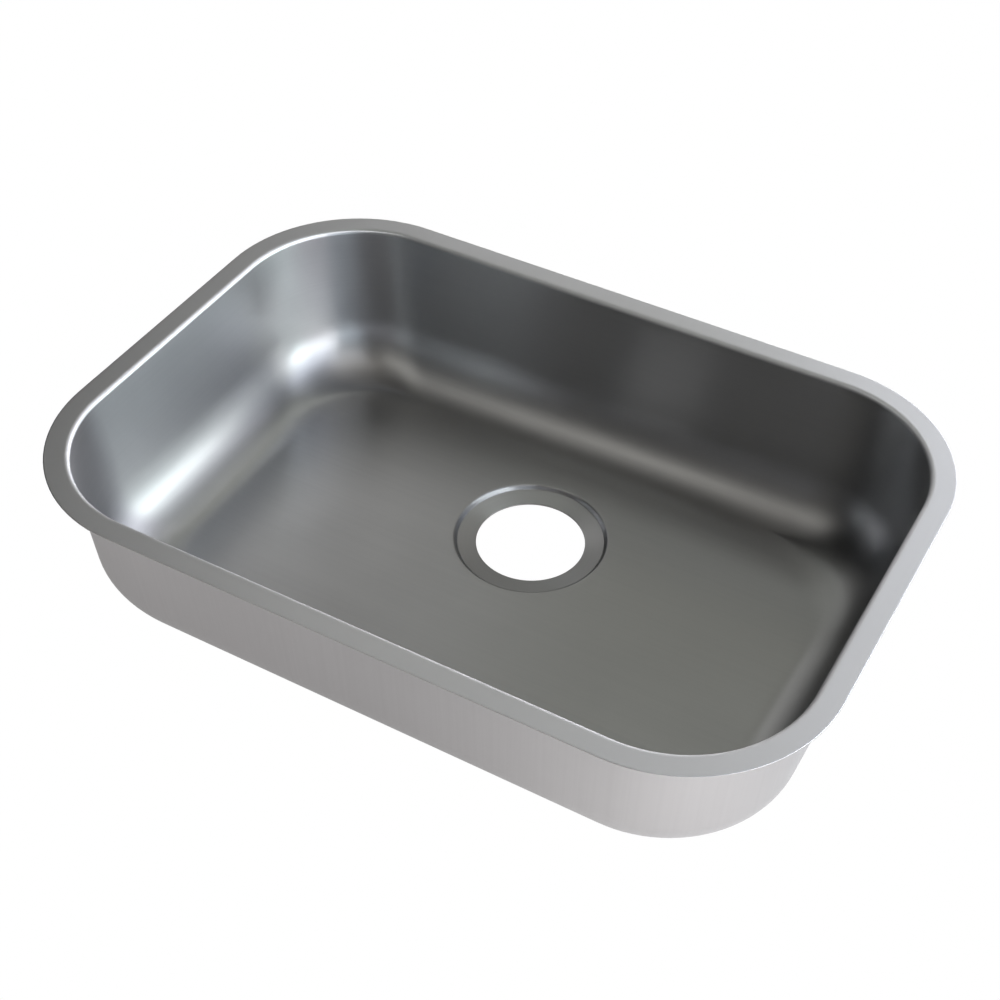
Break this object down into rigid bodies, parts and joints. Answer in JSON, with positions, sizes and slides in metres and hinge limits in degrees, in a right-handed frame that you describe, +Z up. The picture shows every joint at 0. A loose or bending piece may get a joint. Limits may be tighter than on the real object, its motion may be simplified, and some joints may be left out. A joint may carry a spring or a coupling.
{
  "type": "undermount kitchen sink",
  "caption": "Shallow undermount kitchen sink: a satin stainless steel bowl with a flat mounting flange, drafted walls, coved floor and a recessed drain hole towards the back.",
  "frame": {"origin": "middle of the flange's flat top, level with the face that meets the underside of the worktop", "axes": "+X to the right along the sink's length, +Y to the back where the drain is, +Z up out of the bowl"},
  "size_m": [0.63, 0.4424, 0.1452],
  "materials": {
    "stainless_sheet": "satin, finely brushed",
    "pad_rubber": "matt moulded rubber"
  },
  "bodies": {
    "root": {"bowl": "stainless_sheet", "sound_pad_left": "pad_rubber", "sound_pad_right": "pad_rubber", "sound_pad_front": "pad_rubber"}
  },
  "joints": []
}
